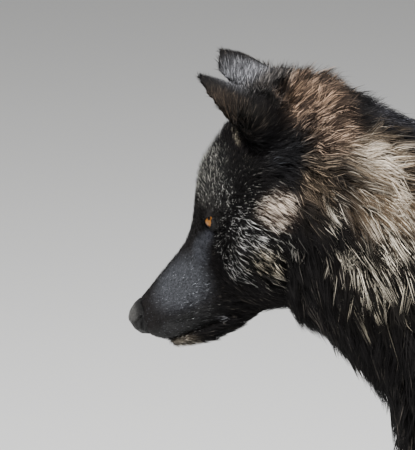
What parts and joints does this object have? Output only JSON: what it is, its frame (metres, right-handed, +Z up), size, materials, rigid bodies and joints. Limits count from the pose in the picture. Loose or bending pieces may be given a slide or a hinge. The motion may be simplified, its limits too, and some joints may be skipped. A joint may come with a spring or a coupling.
{
  "type": "wolf",
  "caption": "Whole black-phase grey wolf, life size, standing with its head low and turned a little aside; a still display model that stands on its own paws.",
  "frame": {"origin": "centre of the bounding box at floor level, between the four paws", "axes": "-X the way the wolf faces, -Y its left side, +Z up from the floor"},
  "size_m": [1.2454, 0.262, 0.8585],
  "materials": {
    "black_coat": "long black fur with pale hair tips on the face",
    "mane_coat": "long chestnut and cream ruff over black",
    "nose_leather": "damp pebbled black nose pad",
    "eye": "wet amber eye"
  },
  "bodies": {
    "root": {"ear_left": "black_coat", "eye_left": "eye", "ear_right": "black_coat", "eye_right": "eye", "nose": "nose_leather", "lower_jaw": "black_coat", "foreleg_upper_left": "black_coat", "foreleg_lower_left": "black_coat", "paw_fore_left": "black_coat", "foreleg_upper_right": "black_coat", "foreleg_lower_right": "black_coat", "paw_fore_right": "black_coat", "thigh_left": "black_coat", "shank_left": "black_coat", "paw_hind_left": "black_coat", "thigh_right": "black_coat", "shank_right": "black_coat", "paw_hind_right": "black_coat", "head": "black_coat", "neck": "mane_coat", "chest": "black_coat", "loin": "black_coat", "rump": "black_coat", "tail_root": "black_coat", "tail_brush": "black_coat"}
  },
  "joints": []
}
